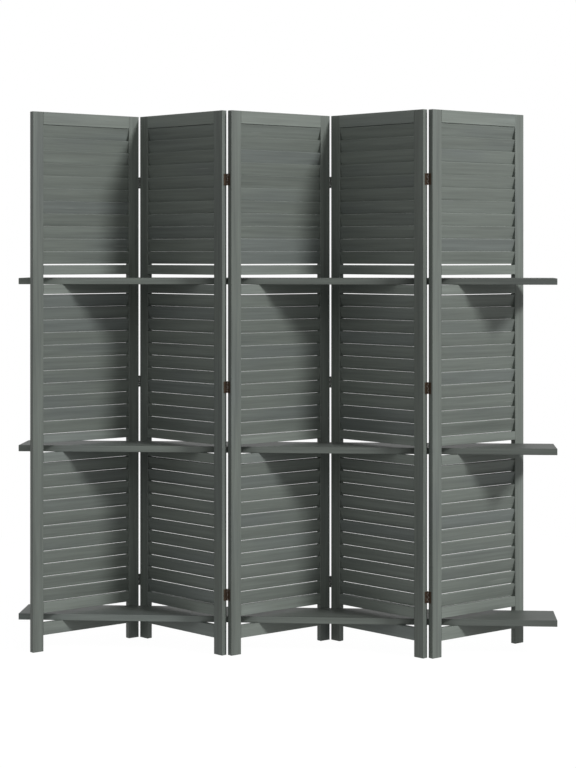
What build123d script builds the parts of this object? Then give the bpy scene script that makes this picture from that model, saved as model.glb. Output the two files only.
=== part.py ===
from build123d import *
import math
import os

# A folding screen of five louvred wooden panels, hinged in a zigzag, with three plank
# shelves that run the whole width through slots in the panels.
# Millimetres, +Z up. The floor is Z = 0 and the front of the screen faces -Y. Y = 0 is the
# zigzag's mid-line, and X = 0 is the middle of the shelves.

# Whole screen
panel_count = 5
panel_height = 1700
panel_width = 392
panel_thickness = 19
zigzag_angle = 40.9  # how far each panel is turned away from the X axis, in degrees
screen_offset = -22  # where the middle panel stands along the shelves

# Stiles and rails of one panel
stile_width = 38
foot_height = 51
bottom_rail_height = 38.5
top_rail_height = 40
low_head_height = 32  # the rail above the bottom slot
middle_sill_height = 29  # the rail below the middle slot
middle_head_height = 27  # the rail above the middle slot
top_slot_rail_height = 30  # the rails above and below the top slot
stile_easing = 1.5
stile_end_easing = 1
rail_easing = 1
tenon_length = 15
tenon_thickness = 8
tenon_shoulder = 4
tenon_clearance = 0.1

# Shelves and the slots that they lie in
shelf_length = 1700
shelf_depth = 153
shelf_thickness = 20
shelf_setback = 10  # how far the shelves' centre line lies behind the mid-line
shelf_easing = 1.5
shelf_seat_gap = 0.3
slot_play = 11  # free height above a shelf in its slot
middle_seat_level = 624.5
top_seat_level = 1155.5

# Louvres
louvre_pitch = 39.97
louvre_thickness = 7.5
louvre_tilt = 14.5  # degrees from upright, with the top edge forward
louvre_spacing = 0.15  # upright clearance between one louvre and the next
louvre_end_gap = 1.45  # between the middle slot's two rails and the louvres next to them
louvre_easing = 0.6
louvre_setback = 0.2  # how far the louvres' centres lie behind the panel's middle
housing_depth = 4
housing_clearance = 0.15
count_tolerance = 0.001  # lets a field that is a whole number of pitches high take them all

# Hinges, three to each junction
hinge_count = 3
hinge_height = 36
lowest_hinge_level = 188
hinge_interval = 648
hinge_gap = 4.4  # between the edges of two panels when the screen lies flat
pin_proud = 0.3  # how far a pin's centre stands out of the panel's face
pin_radius = 1
pin_clearance = 0.05
pin_head_radius = 1.7
pin_head_height = 0.8
knuckle_count = 5
knuckle_radius = 2
knuckle_end_gap = 0.3
knuckle_side_gap = 0.3
leaf_width = 13
leaf_thickness = 1

# Hinge screws
screw_inset = 7.5  # from the hinge pin's centre
screw_end_inset = 7  # from the end of a leaf
screw_radius = 1.2
screw_head_radius = 2.2
screw_length = 14
screw_tip_length = 3
screw_tip_radius = 0.3
screw_clearance = 0.05
drive_slot_width = 0.6
drive_slot_depth = 0.4

# Worked out from the sizes above
opening_width = panel_width - 2 * stile_width
half_width = panel_width / 2
half_thickness = panel_thickness / 2
slot_height = shelf_thickness + slot_play
low_seat_level = foot_height + bottom_rail_height
low_head_top = low_seat_level + slot_height + low_head_height
tilt = math.radians(louvre_tilt)
louvre_rise = louvre_pitch - louvre_spacing
corner_loss = louvre_easing * (math.cos(tilt) + math.sin(tilt) - 1)
louvre_width = (
    louvre_rise + 2 * corner_loss - louvre_thickness * math.sin(tilt)
) / math.cos(tilt)
pin_reach = half_width + hinge_gap / 2
pin_depth = half_thickness + pin_proud
turn = math.radians(zigzag_angle)
panel_interval = 2 * (pin_reach * math.cos(turn) + pin_depth * math.sin(turn))

LEFT, RIGHT = -1, 1
FRONT, BACK = -1, 1
UPWARD = (Align.CENTER, Align.CENTER, Align.MIN)


def eased_bar(length, thickness, height, easing):
    """A bar along X with its four long edges rounded."""
    section = Plane.YZ * RectangleRounded(thickness, height, easing)
    return extrude(section, length / 2, both=True)


def rails():
    """Level of each rail's underside, and its height, by rail name."""
    above_middle = middle_seat_level + slot_height
    above_top = top_seat_level + slot_height
    return {
        "bottom": (foot_height, bottom_rail_height),
        "low_head": (low_seat_level + slot_height, low_head_height),
        "middle_sill": (middle_seat_level - middle_sill_height, middle_sill_height),
        "middle_head": (above_middle, middle_head_height),
        "top_sill": (top_seat_level - top_slot_rail_height, top_slot_rail_height),
        "top_head": (above_top, top_slot_rail_height),
        "top": (panel_height - top_rail_height, top_rail_height),
    }


def louvre_fields():
    """Low and high level of each louvred field, and whether its spare height is below."""
    spans = rails()
    above_middle_head = spans["middle_head"][0] + middle_head_height
    return {
        "lower": (low_head_top, spans["middle_sill"][0] - louvre_end_gap, True),
        "middle": (above_middle_head + louvre_end_gap, spans["top_sill"][0], False),
        "upper": (spans["top_head"][0] + top_slot_rail_height, spans["top"][0], True),
    }


def louvre_levels(low, high, spare_below):
    """Centre levels of the louvres that fit between two rails."""
    count = int((high - low) / louvre_pitch + count_tolerance)
    if spare_below:
        return [high - louvre_pitch * (i + 0.5) for i in range(count)]
    return [low + louvre_pitch * (i + 0.5) for i in range(count)]


def slat(length, growth=0):
    """A tilted louvre about its own centre, or the space for it when growth is given."""
    flat = eased_bar(
        length,
        louvre_thickness + 2 * growth,
        louvre_width + 2 * growth,
        louvre_easing + growth,
    )
    return Pos(Y=louvre_setback) * Rot(X=louvre_tilt) * flat


def louvre_field(name):
    """The louvres between two rails, their ends let into the stiles."""
    length = opening_width + 2 * (housing_depth - housing_clearance)
    one = slat(length)
    return [Pos(Z=level) * one for level in louvre_levels(*louvre_fields()[name])]


def rail(name):
    """A rail with a tenon at each end."""
    low, height = rails()[name]
    body = eased_bar(opening_width, panel_thickness, height, rail_easing)
    tongue_length = opening_width + 2 * tenon_length
    tongue = Box(tongue_length, tenon_thickness, height - 2 * tenon_shoulder)
    return Pos(Z=low + height / 2) * (body + tongue)


def mortise(low, height):
    """Space for a rail's tenon, in a stile whose inner face is at X = 0 and body at X < 0."""
    deep = tenon_length + tenon_clearance
    wide = tenon_thickness + 2 * tenon_clearance
    tall = height - 2 * tenon_shoulder + 2 * tenon_clearance
    return Pos(X=-deep / 2, Z=low + height / 2) * Box(deep, wide, tall)


def plain_stile():
    """A left-hand stile with its inner face at X = 0, cut for the rails and louvres."""
    post = Pos(X=-stile_width / 2, Z=panel_height / 2) * Box(
        stile_width, panel_thickness, panel_height
    )
    post = fillet(post.edges().filter_by(Axis.Z), stile_easing)
    end_faces = post.faces().filter_by(Axis.Z)
    post = fillet(end_faces.edges(), stile_end_easing)
    cuts = [mortise(low, height) for low, height in rails().values()]
    pocket = slat(2 * housing_depth, housing_clearance)
    for span in louvre_fields().values():
        cuts += [Pos(Z=level) * pocket for level in louvre_levels(*span)]
    return post.cut(*cuts)


def hinge_levels():
    """Centre levels of the hinges at one junction."""
    return [lowest_hinge_level + hinge_interval * i for i in range(hinge_count)]


def screw_levels():
    """Levels of the screws in one leaf, from its middle."""
    reach = hinge_height / 2 - screw_end_inset
    return (-reach, reach)


def hinge_sides(panel):
    """The panel edges that carry hinges, each with the face that its pins stand at."""
    edges = []
    if panel > 1:
        edges.append((LEFT, FRONT if panel % 2 == 0 else BACK))
    if panel < panel_count:
        edges.append((RIGHT, FRONT if panel % 2 == 1 else BACK))
    return edges


def knuckles(first, radius, growth=0):
    """Every other length of the hinge barrel, starting with the lowest or the next one."""
    share = hinge_height / knuckle_count
    tall = share - knuckle_end_gap + 2 * growth
    return [
        Pos(Z=share * (i + 0.5) - hinge_height / 2) * Cylinder(radius, tall)
        for i in range(first, knuckle_count, 2)
    ]


def leaf(first):
    """A hinge leaf about its pin: its plate lies at X < 0 and runs towards -Y."""
    plate_width = leaf_width - pin_proud
    plate = Pos(
        X=(leaf_thickness - hinge_gap) / 2,
        Y=-pin_proud - plate_width / 2,
    ) * Box(leaf_thickness, plate_width, hinge_height)
    own = knuckles(first, knuckle_radius)
    other = knuckles(1 - first, knuckle_radius + knuckle_side_gap, knuckle_end_gap)
    body = plate.cut(*other).fuse(*own)
    bore = Cylinder(pin_radius + pin_clearance, hinge_height)
    seats = [screw_seat(z) for z in screw_levels()]
    return body.cut(bore, *seats)


def screw_seat(level):
    """The countersunk hole in a leaf's plate."""
    wide = screw_head_radius + 2 * screw_clearance
    narrow = screw_radius + 2 * screw_clearance
    sink = Cone(narrow, wide, leaf_thickness)
    place = Pos(X=(leaf_thickness - hinge_gap) / 2, Y=-screw_inset, Z=level)
    return place * Rot(Y=90) * sink


def screw():
    """A countersunk wood screw along X, its head's face at X = 0 and its shank at X < 0."""
    head = Cone(screw_radius, screw_head_radius, leaf_thickness, align=UPWARD)
    shank_length = screw_length - screw_tip_length
    shank = Cylinder(screw_radius, shank_length, align=UPWARD)
    tip = Cone(screw_tip_radius, screw_radius, screw_tip_length, align=UPWARD)
    drive = Box(3 * screw_head_radius, drive_slot_width, 2 * drive_slot_depth)
    body = Pos(Z=-leaf_thickness) * head
    body = body + Pos(Z=-leaf_thickness - shank_length) * shank
    body = body + Pos(Z=-leaf_thickness - screw_length) * tip
    return Rot(Y=90) * (body - drive)


def pilot_hole():
    """Space for a screw in a stile, from its outer edge at X = 0 towards X < 0."""
    deep = screw_length + 2 * screw_clearance
    hole = Cylinder(screw_radius + screw_clearance, 2 * deep)
    return Rot(Y=90) * hole


def to_right_edge(piece, face):
    """Turn a piece that is drawn for a pin at the back, so that its pin is at that face."""
    return piece if face == BACK else mirror(piece, Plane.XZ)


def to_edge(piece, edge):
    """Turn a piece that is drawn for a panel's right edge, so that it suits that edge."""
    return piece if edge == RIGHT else mirror(piece, Plane.YZ)


def pin_place(edge, face, level=0):
    """Where a hinge pin's centre stands in a panel's own frame."""
    return Pos(X=edge * pin_reach, Y=face * pin_depth, Z=level)


def leaves(edge, face):
    """The leaves on one edge of a panel, in the panel's own frame."""
    first = 0 if edge == RIGHT else 1
    one = to_edge(to_right_edge(leaf(first), face), edge)
    return [pin_place(edge, face, level) * one for level in hinge_levels()]


def edge_screws(edge, face):
    """The screws of the leaves on one edge of a panel."""
    one = to_edge(screw(), edge)
    reach = edge * (half_width + leaf_thickness - screw_clearance)
    depth = face * (pin_depth - screw_inset)
    return [
        Pos(X=reach, Y=depth, Z=level + rise) * one
        for level in hinge_levels()
        for rise in screw_levels()
    ]


def pilot_holes(edge, face):
    """The holes for those screws in the stile."""
    depth = face * (pin_depth - screw_inset)
    return [
        Pos(X=edge * half_width, Y=depth, Z=level + rise) * pilot_hole()
        for level in hinge_levels()
        for rise in screw_levels()
    ]


def pins(panel):
    """The pins in a panel's right-hand hinges, in the panel's own frame."""
    face = dict(hinge_sides(panel))[RIGHT]
    shaft = Cylinder(pin_radius, hinge_height)
    head_level = (hinge_height + pin_head_height) / 2
    one = shaft + Pos(Z=head_level) * Cylinder(pin_head_radius, pin_head_height)
    return [pin_place(RIGHT, face, level) * one for level in hinge_levels()]


def stile(blank, panel, edge):
    """One stile of a panel, with the pilot holes for its hinges."""
    inner = opening_width / 2
    if edge == LEFT:
        post = Pos(X=-inner) * blank
    else:
        post = Pos(X=inner) * mirror(blank, Plane.YZ)
    for side, face in hinge_sides(panel):
        if side == edge:
            post = post.cut(*pilot_holes(side, face))
    return [post]


def shelf(level):
    """A plank that lies on its slots' sills, with all its edges eased."""
    plank = Box(shelf_length, shelf_depth, shelf_thickness)
    plank = fillet(plank.edges(), shelf_easing)
    middle = level + shelf_seat_gap + shelf_thickness / 2
    return [Pos(Y=shelf_setback, Z=middle) * plank]


def panel_place(panel):
    """Where a panel stands: its middle on the mid-line, turned one way or the other."""
    middle = (panel_count + 1) / 2
    along = screen_offset + (panel - middle) * panel_interval
    angle = zigzag_angle if panel % 2 == 1 else -zigzag_angle
    return Location((along, 0, 0), (0, 0, angle))


def panel_nodes(panel, blank):
    """Every piece of one panel by node name, in the panel's own frame."""
    slot_rail_names = ("low_head", "middle_sill", "middle_head", "top_sill", "top_head")
    nodes = {
        "stile_left": stile(blank, panel, LEFT),
        "stile_right": stile(blank, panel, RIGHT),
        "top_rail": [rail("top")],
        "bottom_rail": [rail("bottom")],
        "slot_rails": [rail(name) for name in slot_rail_names],
        "louvres_upper": louvre_field("upper"),
        "louvres_middle": louvre_field("middle"),
        "louvres_lower": louvre_field("lower"),
        "screws": [],
    }
    for edge, face in hinge_sides(panel):
        side = "left" if edge == LEFT else "right"
        nodes["hinge_leaves_" + side] = leaves(edge, face)
        nodes["screws"] += edge_screws(edge, face)
    if panel < panel_count:
        nodes["hinge_pins"] = pins(panel)
    return nodes


def write(node, pieces):
    """Save one node's pieces as a STEP file."""
    shape = pieces[0] if len(pieces) == 1 else Compound(children=pieces)
    export_step(shape, "parts/" + node + ".step")


os.makedirs("parts", exist_ok=True)
stile_blank = plain_stile()
for number in range(1, panel_count + 1):
    place = panel_place(number)
    for name, pieces in panel_nodes(number, stile_blank).items():
        write(f"panel_{number}_{name}", [place * piece for piece in pieces])
write("shelf_bottom", shelf(low_seat_level))
write("shelf_middle", shelf(middle_seat_level))
write("shelf_top", shelf(top_seat_level))
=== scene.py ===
import math

import bpy
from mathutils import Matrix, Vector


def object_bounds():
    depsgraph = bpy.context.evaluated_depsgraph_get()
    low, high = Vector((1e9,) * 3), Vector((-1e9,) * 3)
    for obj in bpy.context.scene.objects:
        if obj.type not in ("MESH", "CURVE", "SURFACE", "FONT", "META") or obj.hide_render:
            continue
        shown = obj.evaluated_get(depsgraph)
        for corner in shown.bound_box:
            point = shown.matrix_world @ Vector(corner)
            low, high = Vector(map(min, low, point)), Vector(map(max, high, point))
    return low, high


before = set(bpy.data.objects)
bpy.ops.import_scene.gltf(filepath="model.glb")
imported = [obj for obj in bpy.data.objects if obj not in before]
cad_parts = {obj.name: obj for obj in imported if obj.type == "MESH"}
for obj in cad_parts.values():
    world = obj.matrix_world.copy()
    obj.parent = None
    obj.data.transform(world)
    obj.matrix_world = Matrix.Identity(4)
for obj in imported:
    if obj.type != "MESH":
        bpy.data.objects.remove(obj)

cad_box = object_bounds()

# Sizes and places of the real screen, in metres and degrees
PANELS = range(1, 6)
ZIGZAG_ANGLE = 40.9
LOUVRE_PITCH = 0.03997
LOUVRE_FIELDS = {"upper": 1.66, "middle": 0.68395, "lower": 0.59405}  # a level between two louvres
BACK_JUNCTIONS = (1, 3)  # the panels whose right edge lies at the back of the zigzag

# Paint and metal, as linear colours
PAINT = (0.162, 0.183, 0.164)
COOL_PAINT = (0.140, 0.158, 0.153)
RUBBED_PAINT = (0.300, 0.315, 0.295)
STILE_TONE = 0.84
RAIL_TONE = 1.08
LOUVRE_TONE = 1.0
SHELF_TONE = 0.85
# The next two follow the light in the photo. With both at 0 a shelf has plain, even paint.
SHELF_TOP_PAINTED_SHADE = 0.44  # painted shade: how much darker a shelf is painted on its top
SHELF_PAINTED_LIGHT_SLOPE = 0.32  # painted light and shade: how much lighter at the left end, and darker at the right
SHELF_HALF_LENGTH = cad_box[1][0]
BRONZE = (0.085, 0.060, 0.042)
WORN_BRONZE = (0.210, 0.150, 0.095)
# Painted shade: a darker, greyer copy of the bronze for the hinges at the back of the zigzag, which lie in
# shade
PAINTED_SHADE_BRONZE = (0.050, 0.054, 0.050)
WORN_PAINTED_SHADE_BRONZE = (0.120, 0.122, 0.112)
WHITE = (1.0, 1.0, 1.0, 1.0)
FLOOR_COLOUR = (0.22, 0.22, 0.22, 1.0)

# Wood grain: marks per metre, along the grain and twice across it
STREAKS = (1.6, 38.0, 38.0)
GRAIN = (11.0, 420.0, 420.0)
FIGURE = (3.2, 110.0, 110.0)
CLOUDS = (1.9, 5.0, 5.0)
SCUFFS = (8.0, 210.0, 210.0)
BOARD_SHIFT = 7.0  # how far apart two boards' grain is taken

# How much each of these changes the paint's tone
STREAKS_SHARE = 0.58
FIGURE_SHARE = 0.58
GRAIN_SHARE = 0.34
BOARD_SHARE = 0.12

# Wear of the paint
COOL_SHARE = 0.65
COOL_BOARDS = (0.86, 0.90)  # the louvres whose own number lies above these are cool all over
EDGE_WEAR = 0.32
EDGE_REACH = 0.0016
EDGE_RANGE = (0.02, 0.22)  # 1 - the cosine of an edge's turn, where wear sets in and where it is full
SCUFF_WEAR = 0.45

# Noise levels at which an effect sets in and is full
COOL_RANGE = (0.48, 0.72)
RUBBED_RANGE = (0.30, 0.62)
SCUFF_RANGE = (0.74, 0.84)
SPOT_RANGE = (0.50, 0.75)

# The paint's surface
FIGURE_RELIEF = 0.6
GRAIN_RELIEF = 0.4
RELIEF_STRENGTH = 0.32
RELIEF_HEIGHT = 0.0007
PAINT_SPECULAR = 0.4
PAINT_ROUGHNESS = 0.44
STREAKS_ROUGHNESS = 0.16
GRAIN_ROUGHNESS = 0.10

# The metal and its wear
SPOTS = (260.0, 260.0, 260.0)
BRUSHING = (900.0, 900.0, 60.0)
METAL_EDGE_REACH = 0.0005
HINGE_WEAR = 0.55
SCREW_WEAR = 0.80
SPOT_WEAR = 0.35
METALLIC = 0.75
METAL_ROUGHNESS = 0.34
SPOT_ROUGHNESS = 0.25
BRUSHED_STRENGTH = 0.2
BRUSHED_HEIGHT = 0.0001

# Numbers that give every board its own grain
PANEL_NUMBERS = 1000
STILE_NUMBERS = 200
RAIL_NUMBERS = (400, 50)
LOUVRE_NUMBERS = (600, 100)
SHELF_NUMBERS = (9000, 100)

# Light
SKY_LIGHT = 0.74  # straight overhead
SIDE_LIGHT = 0.15  # at the horizon and below it
KEY_PLACE = (7.9, -4.0, 7.1)
KEY_TARGET = (0.0, 0.0, 0.9)
KEY_SIZE = 1.9
KEY_POWER = 930
FRONT_LIGHT = 0.12  # added at the front left
FRONT_HEADING = (-0.6, -0.8, 0.0)
FLOOR_SHINE = 0.24  # a soft light of the floor round the object, which lifts the feet
FLOOR_SHINE_RADIUS = 0.5  # full up to here, and gone at the next
FLOOR_DULL_RADIUS = 1.1
FLOOR_GLOW = 0.985  # the part of the floor's white that no shadow takes away
FLOOR_REST = (0.03, 0.03, 0.03, 1.0)  # the part that a shadow does take away
FLOOR_CLEAR_RADIUS = 1.5
FLOOR_FADE_RADIUS = 2.6
FLOOR_SIZE = 16.0
FLOOR_DROP = 0.0004

# The photographer's place
CAMERA_PLACE = (0.379, -5.695, 1.2495)
CAMERA_TURN = 3.766
CAMERA_LENS = 84.03
CAMERA_SENSOR = 36.0
CAMERA_SHIFT = -0.1683


class Graph:
    """A material's or world's node tree, in which each node is added with one call."""

    def __init__(self, tree):
        self.tree = tree
        tree.nodes.clear()

    def add(self, kind, inputs=(), **settings):
        made = self.tree.nodes.new(kind)
        for key, value in settings.items():
            setattr(made, key, value)
        for key, value in dict(inputs).items():
            if isinstance(value, bpy.types.NodeSocket):
                self.tree.links.new(value, made.inputs[key])
            else:
                made.inputs[key].default_value = value
        return made

    def maths(self, operation, *values):
        return self.add("ShaderNodeMath", enumerate(values), operation=operation).outputs[0]

    def mix(self, factor, first, second):
        inputs = {0: factor, 6: first, 7: second}
        return self.add("ShaderNodeMix", inputs, data_type="RGBA").outputs[2]

    def noise(self, place, stretch, detail=3.0, roughness=0.55):
        """Noise whose features are 1 / stretch long along each axis."""
        scaled = self.add("ShaderNodeVectorMath", {0: place, 1: stretch}, operation="MULTIPLY")
        inputs = {"Vector": scaled.outputs[0], "Scale": 1.0, "Detail": detail, "Roughness": roughness}
        return self.add("ShaderNodeTexNoise", inputs).outputs[0]

    def ramp(self, value, low, high):
        """0 below low, 1 above high and smooth between them."""
        inputs = {"Value": value, "From Min": low, "From Max": high}
        return self.add("ShaderNodeMapRange", inputs, interpolation_type="SMOOTHSTEP").outputs[0]


def new_material(name):
    material = bpy.data.materials.new(name)
    material.use_nodes = True
    return material, Graph(material.node_tree)


def opaque(colour):
    return (*colour, 1.0)


def worn_edges(graph, reach):
    """1 on an edge that hands and cloths rub, 0 on a flat face."""
    rounded = graph.add("ShaderNodeBevel", {"Radius": reach}, samples=6)
    flat = graph.add("ShaderNodeNewGeometry")
    vectors = {0: rounded.outputs[0], 1: flat.outputs["Normal"]}
    alike = graph.add("ShaderNodeVectorMath", vectors, operation="DOT_PRODUCT").outputs["Value"]
    return graph.ramp(graph.maths("SUBTRACT", 1.0, alike), *EDGE_RANGE)


def board_number(graph, place, level, pitch):
    """A whole number for each louvre, counted up from a level between two of them."""
    height = graph.add("ShaderNodeSeparateXYZ", {0: place}).outputs[2]
    return graph.maths("FLOOR", graph.maths("DIVIDE", graph.maths("SUBTRACT", height, level), pitch))


def shelf_painted_light(graph, place, shade):
    """The tone of a shelf, with painted light and shade: lighter at its left end, darker towards its right
    end and on its top.
    """
    sideways = graph.add("ShaderNodeSeparateXYZ", {0: place}).outputs[0]
    painted_falloff = graph.maths("MULTIPLY_ADD", sideways, -SHELF_PAINTED_LIGHT_SLOPE / SHELF_HALF_LENGTH, 1.0)
    shade = graph.maths("MULTIPLY", shade, painted_falloff)
    facing = graph.add("ShaderNodeTexCoord").outputs["Normal"]
    upward = graph.maths("MAXIMUM", graph.add("ShaderNodeSeparateXYZ", {0: facing}).outputs[2], 0.0)
    return graph.maths("MULTIPLY", shade, graph.maths("MULTIPLY_ADD", upward, -SHELF_TOP_PAINTED_SHADE, 1.0))


def painted_wood(name, turn, tone, seed, level=None, shelf=False):
    """Satin paint over wood, with the grain along X after the turn in degrees about each axis.

    Louvres that share a material are told apart by height, from a level between two of them."""
    material, graph = new_material(name)
    place = graph.add("ShaderNodeTexCoord").outputs["Object"]
    rotation = tuple(math.radians(a) for a in turn)
    along = graph.add("ShaderNodeMapping", {"Vector": place, "Rotation": rotation}).outputs[0]
    if level is None:
        number = float(seed)
    else:
        number = graph.maths("ADD", board_number(graph, place, level, LOUVRE_PITCH), float(seed))
    lot = graph.add("ShaderNodeTexWhiteNoise", {"W": number}, noise_dimensions="1D")
    apart = {0: lot.outputs["Color"], "Scale": BOARD_SHIFT}
    shift = graph.add("ShaderNodeVectorMath", apart, operation="SCALE")
    along = graph.add("ShaderNodeVectorMath", {0: along, 1: shift.outputs[0]}).outputs[0]

    streaks = graph.noise(along, STREAKS, 4.0, 0.6)
    grain = graph.noise(along, GRAIN, 4.0, 0.6)
    figure = graph.noise(along, FIGURE, 3.0, 0.55)
    clouds = graph.noise(along, CLOUDS, 2.0, 0.5)
    scuffs = graph.ramp(graph.noise(along, SCUFFS, 1.0, 0.4), *SCUFF_RANGE)

    variations = (
        (streaks, STREAKS_SHARE),
        (figure, FIGURE_SHARE),
        (grain, GRAIN_SHARE),
        (lot.outputs["Value"], BOARD_SHARE),
    )
    shade = tone - sum(share for value, share in variations) / 2
    for value, share in variations:
        shade = graph.maths("MULTIPLY_ADD", value, share, shade)
    # Shelves get painted light and shade: lighter at the left end, darker at the right end and on top
    if shelf:
        shade = shelf_painted_light(graph, place, shade)
    cool = graph.ramp(clouds, *COOL_RANGE)
    if level is not None:
        cool = graph.maths("MAXIMUM", cool, graph.ramp(lot.outputs["Value"], *COOL_BOARDS))
    paint = graph.mix(graph.maths("MULTIPLY", cool, COOL_SHARE), opaque(PAINT), opaque(COOL_PAINT))
    paint = graph.add("ShaderNodeVectorMath", {0: paint, "Scale": shade}, operation="SCALE").outputs[0]
    rubbed = graph.maths("MULTIPLY", worn_edges(graph, EDGE_REACH), graph.ramp(figure, *RUBBED_RANGE))
    paint = graph.mix(graph.maths("MULTIPLY", rubbed, EDGE_WEAR), paint, opaque(RUBBED_PAINT))
    paint = graph.mix(graph.maths("MULTIPLY", scuffs, SCUFF_WEAR), paint, opaque(RUBBED_PAINT))

    relief = graph.maths("MULTIPLY", grain, GRAIN_RELIEF)
    relief = graph.maths("MULTIPLY_ADD", figure, FIGURE_RELIEF, relief)
    bump = {"Height": relief, "Strength": RELIEF_STRENGTH, "Distance": RELIEF_HEIGHT}
    sheen = graph.maths("MULTIPLY_ADD", streaks, STREAKS_ROUGHNESS, PAINT_ROUGHNESS)
    surface = {
        "Base Color": paint,
        "Roughness": graph.maths("MULTIPLY_ADD", grain, GRAIN_ROUGHNESS, sheen),
        "Specular IOR Level": PAINT_SPECULAR,
        "Normal": graph.add("ShaderNodeBump", bump).outputs[0],
    }
    shader = graph.add("ShaderNodeBsdfPrincipled", surface)
    graph.add("ShaderNodeOutputMaterial", {0: shader.outputs[0]})
    return material


def plating(name, colour, worn_colour, wear):
    """Plated metal, with worn spots and edges rubbed bright."""
    material, graph = new_material(name)
    place = graph.add("ShaderNodeTexCoord").outputs["Object"]
    spots = graph.noise(place, SPOTS, 4.0, 0.6)
    brushed = graph.noise(place, BRUSHING, 3.0, 0.5)
    rubbed = graph.maths("MULTIPLY", worn_edges(graph, METAL_EDGE_REACH), wear)
    spotted = graph.maths("MULTIPLY", graph.ramp(spots, *SPOT_RANGE), SPOT_WEAR)
    metal = graph.mix(graph.maths("MAXIMUM", rubbed, spotted), opaque(colour), opaque(worn_colour))
    bump = {"Height": brushed, "Strength": BRUSHED_STRENGTH, "Distance": BRUSHED_HEIGHT}
    surface = {
        "Base Color": metal,
        "Metallic": METALLIC,
        "Roughness": graph.maths("MULTIPLY_ADD", spots, SPOT_ROUGHNESS, METAL_ROUGHNESS),
        "Normal": graph.add("ShaderNodeBump", bump).outputs[0],
    }
    shader = graph.add("ShaderNodeBsdfPrincipled", surface)
    graph.add("ShaderNodeOutputMaterial", {0: shader.outputs[0]})
    return material


def dress(node, material):
    """Give a CAD node one material."""
    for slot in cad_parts[node].material_slots:
        slot.link = "OBJECT"
        slot.material = material


def dress_panel(panel):
    """Paint one panel's wood, each piece with its own run of grain."""
    turn = -ZIGZAG_ANGLE if panel % 2 == 1 else ZIGZAG_ANGLE
    sideways = (0.0, 0.0, turn)
    upright = (0.0, 90.0, 0.0)
    own = f"panel_{panel}_"
    seed = panel * PANEL_NUMBERS
    for order, side in enumerate(("left", "right")):
        paint = painted_wood(f"{own}stile_{side}_paint", upright, STILE_TONE, seed + STILE_NUMBERS * order)
        dress(f"{own}stile_{side}", paint)
    for order, rail in enumerate(("top_rail", "bottom_rail", "slot_rails")):
        number = seed + RAIL_NUMBERS[0] + RAIL_NUMBERS[1] * order
        paint = painted_wood(f"{own}{rail}_paint", sideways, RAIL_TONE, number)
        dress(own + rail, paint)
    for order, (field, level) in enumerate(LOUVRE_FIELDS.items()):
        number = seed + LOUVRE_NUMBERS[0] + LOUVRE_NUMBERS[1] * order
        paint = painted_wood(f"{own}{field}_paint", sideways, LOUVRE_TONE, number, level)
        dress(f"{own}louvres_{field}", paint)


def back_hinges():
    """The nodes of the hinges at the back of the zigzag, which show the viewer their knuckles and get
    painted shade.
    """
    nodes = []
    for panel in BACK_JUNCTIONS:
        nodes += [f"panel_{panel}_hinge_leaves_right", f"panel_{panel}_hinge_pins"]
        nodes.append(f"panel_{panel + 1}_hinge_leaves_left")
    return nodes


def dress_metal():
    """Plate the hinges, their pins and their screws, with painted shade on the hinges at the back."""
    plate = plating("hinge_plating", BRONZE, WORN_BRONZE, HINGE_WEAR)
    painted_shade_plate = plating("back_hinge_painted_shade_plating", PAINTED_SHADE_BRONZE, WORN_PAINTED_SHADE_BRONZE, HINGE_WEAR)
    heads = plating("screw_plating", BRONZE, WORN_BRONZE, SCREW_WEAR)
    at_the_back = back_hinges()
    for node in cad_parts:
        # painted shade: the hinges at the back get a darker copy of the bronze
        if node in at_the_back:
            dress(node, painted_shade_plate)
        elif "hinge" in node:
            dress(node, plate)
        elif node.endswith("screws"):
            dress(node, heads)


def dress_shelves():
    """Paint the planks, whose grain runs along the screen."""
    lengthways = (0.0, 0.0, 0.0)
    for order, shelf in enumerate(("bottom", "middle", "top")):
        number = SHELF_NUMBERS[0] + SHELF_NUMBERS[1] * order
        paint = painted_wood(f"shelf_{shelf}_paint", lengthways, SHELF_TONE, number, shelf=True)
        dress(f"shelf_{shelf}", paint)


def camera_like(graph):
    """1 for what the camera sees, straight or in a gloss or through glass, else 0."""
    path = graph.add("ShaderNodeLightPath")
    seen = graph.maths("ADD", path.outputs["Is Camera Ray"], path.outputs["Is Glossy Ray"])
    seen = graph.maths("ADD", seen, path.outputs["Is Transmission Ray"])
    return graph.maths("MINIMUM", seen, 1.0)


def make_world():
    """A white background, and a soft light that is strongest overhead and at the front left."""
    world = bpy.data.worlds.new("studio")
    world.use_nodes = True
    bpy.context.scene.world = world
    graph = Graph(world.node_tree)
    white = graph.add("ShaderNodeBackground", {0: WHITE, 1: 1.0})
    heading = graph.add("ShaderNodeTexCoord").outputs["Generated"]
    upward = graph.add("ShaderNodeSeparateXYZ", {0: heading}).outputs[2]
    upward = graph.maths("MAXIMUM", upward, 0.0)
    strength = graph.maths("MULTIPLY_ADD", upward, SKY_LIGHT - SIDE_LIGHT, SIDE_LIGHT)
    vectors = {0: heading, 1: FRONT_HEADING}
    forward = graph.add("ShaderNodeVectorMath", vectors, operation="DOT_PRODUCT").outputs["Value"]
    forward = graph.maths("MAXIMUM", forward, 0.0)
    strength = graph.maths("MULTIPLY_ADD", forward, FRONT_LIGHT, strength)
    light = graph.add("ShaderNodeBackground", {0: WHITE, 1: strength})
    inputs = {0: camera_like(graph), 1: light.outputs[0], 2: white.outputs[0]}
    blend = graph.add("ShaderNodeMixShader", inputs)
    graph.add("ShaderNodeOutputWorld", {0: blend.outputs[0]})


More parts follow.
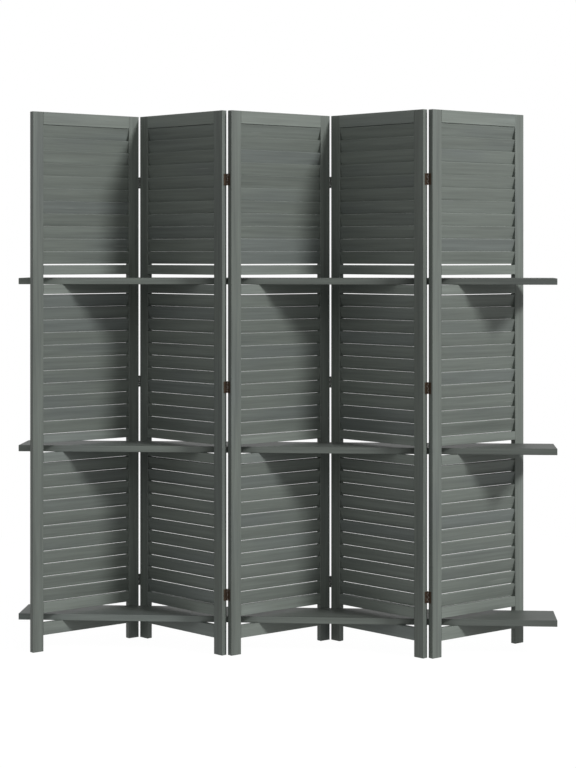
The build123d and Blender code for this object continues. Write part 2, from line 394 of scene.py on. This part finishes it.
def floor_material():
    """White with a trace of shadow to the camera; grey, with a soft glow, to the light."""
    material, graph = new_material("floor_white")
    place = graph.add("ShaderNodeTexCoord").outputs["Object"]
    away = graph.add("ShaderNodeVectorMath", {0: place}, operation="LENGTH").outputs["Value"]
    far = graph.ramp(away, FLOOR_CLEAR_RADIUS, FLOOR_FADE_RADIUS)
    dull = graph.add("ShaderNodeBsdfDiffuse", {0: FLOOR_COLOUR})
    close = graph.maths("SUBTRACT", 1.0, graph.ramp(away, FLOOR_SHINE_RADIUS, FLOOR_DULL_RADIUS))
    glimmer = graph.maths("MULTIPLY", close, FLOOR_SHINE)
    shine = graph.add("ShaderNodeEmission", {0: WHITE, 1: glimmer})
    plain = graph.add("ShaderNodeAddShader", {0: dull.outputs[0], 1: shine.outputs[0]})
    rest = graph.add("ShaderNodeBsdfDiffuse", {0: FLOOR_REST})
    glow = graph.add("ShaderNodeEmission", {0: WHITE, 1: FLOOR_GLOW})
    near = graph.add("ShaderNodeAddShader", {0: rest.outputs[0], 1: glow.outputs[0]})
    white = graph.add("ShaderNodeEmission", {0: WHITE, 1: 1.0})
    shown = graph.add("ShaderNodeMixShader", {0: far, 1: near.outputs[0], 2: white.outputs[0]})
    inputs = {0: camera_like(graph), 1: plain.outputs[0], 2: shown.outputs[0]}
    both = graph.add("ShaderNodeMixShader", inputs)
    graph.add("ShaderNodeOutputMaterial", {0: both.outputs[0]})
    return material


def make_floor():
    half = FLOOR_SIZE / 2
    corners = [(-half, -half, 0.0), (half, -half, 0.0), (half, half, 0.0), (-half, half, 0.0)]
    mesh = bpy.data.meshes.new("floor")
    mesh.from_pydata(corners, [], [(0, 1, 2, 3)])
    mesh.materials.append(floor_material())
    floor = bpy.data.objects.new("floor", mesh)
    floor.location.z = -FLOOR_DROP
    bpy.context.collection.objects.link(floor)


def aim(thing, target):
    """Turn a lamp so that it shines at a point."""
    heading = [t - p for t, p in zip(target, thing.location)]
    flat = math.hypot(heading[0], heading[1])
    thing.rotation_euler = (math.atan2(flat, -heading[2]), 0.0, math.atan2(-heading[0], heading[1]))


def make_key_light():
    lamp = bpy.data.lights.new("key", "AREA")
    lamp.shape = "DISK"
    lamp.size = KEY_SIZE
    lamp.energy = KEY_POWER
    key = bpy.data.objects.new("key", lamp)
    key.location = KEY_PLACE
    bpy.context.collection.objects.link(key)
    aim(key, KEY_TARGET)


def make_camera():
    lens = bpy.data.cameras.new("camera")
    lens.lens = CAMERA_LENS
    lens.sensor_width = CAMERA_SENSOR
    lens.shift_y = CAMERA_SHIFT
    camera = bpy.data.objects.new("camera", lens)
    camera.location = CAMERA_PLACE
    camera.rotation_euler = (math.radians(90.0), 0.0, math.radians(CAMERA_TURN))
    bpy.context.collection.objects.link(camera)
    bpy.context.scene.camera = camera


for number in PANELS:
    dress_panel(number)
dress_shelves()
dress_metal()
make_world()
make_floor()
make_key_light()
make_camera()
bpy.context.scene.view_settings.view_transform = "Standard"
